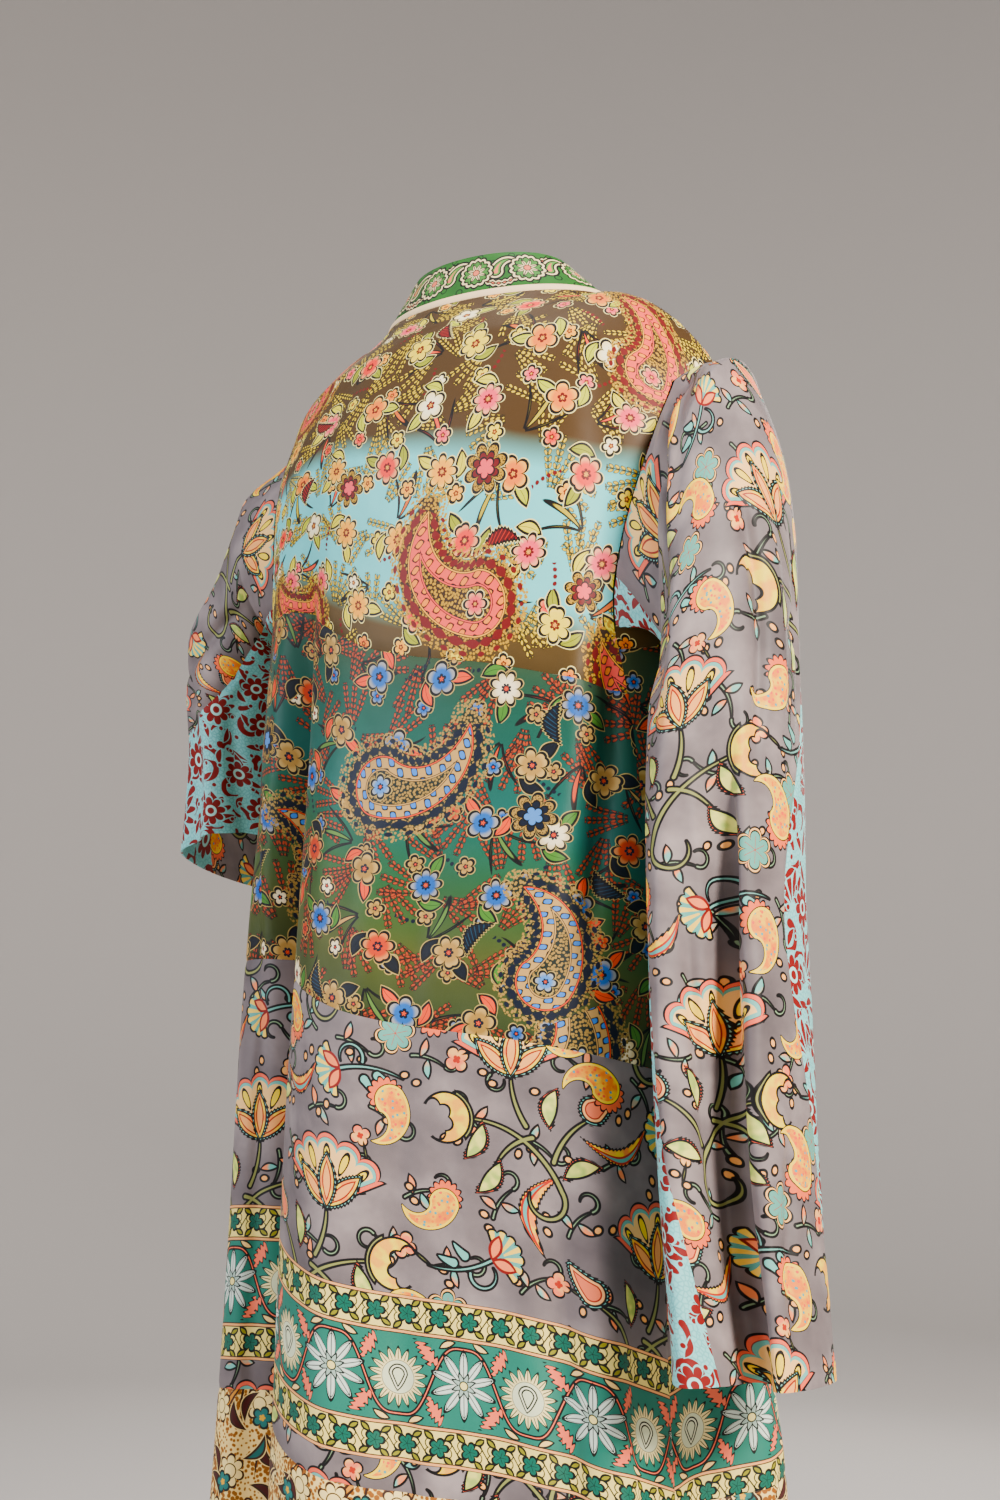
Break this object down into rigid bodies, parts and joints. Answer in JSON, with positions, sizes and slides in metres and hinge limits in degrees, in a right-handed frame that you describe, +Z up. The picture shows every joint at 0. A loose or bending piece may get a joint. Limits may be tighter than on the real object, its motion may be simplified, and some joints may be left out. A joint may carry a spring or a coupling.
{
  "type": "kimono robe",
  "caption": "Long open-front kimono robe of patchwork print cloth with a standing collar band, piping and wide sleeves, in the hollow form it has when worn.",
  "frame": {"origin": "middle of the neck opening at shoulder height, where the wearer carries the robe", "axes": "+Z up, the wearer faces -Y and the wearer's left is +X"},
  "size_m": [0.6616, 0.3885, 1.2556],
  "materials": {
    "upper": "olive brown and pale aqua flower print viscose",
    "middle": "teal and olive paisley print viscose",
    "skirt": "grey mauve vine print viscose with a teal border",
    "hem": "cream and gold dotted print viscose",
    "sleeve_outer": "grey mauve vine print viscose",
    "sleeve_under": "pale aqua and dark red print viscose",
    "collar": "green medallion print viscose",
    "piping": "cream satin piping"
  },
  "bodies": {
    "root": {"back_upper": "upper", "left_front_upper": "upper", "right_front_upper": "upper", "back_middle": "middle", "left_front_middle": "middle", "right_front_middle": "middle", "back_skirt": "skirt", "left_front_skirt": "skirt", "right_front_skirt": "skirt", "back_hem": "hem", "left_front_hem": "hem", "right_front_hem": "hem", "left_sleeve_outer": "sleeve_outer", "left_sleeve_under": "sleeve_under", "right_sleeve_outer": "sleeve_outer", "right_sleeve_under": "sleeve_under", "piping_left": "piping", "collar_left": "collar", "piping_back": "piping", "collar_back": "collar", "piping_right": "piping", "collar_right": "collar"}
  },
  "joints": []
}
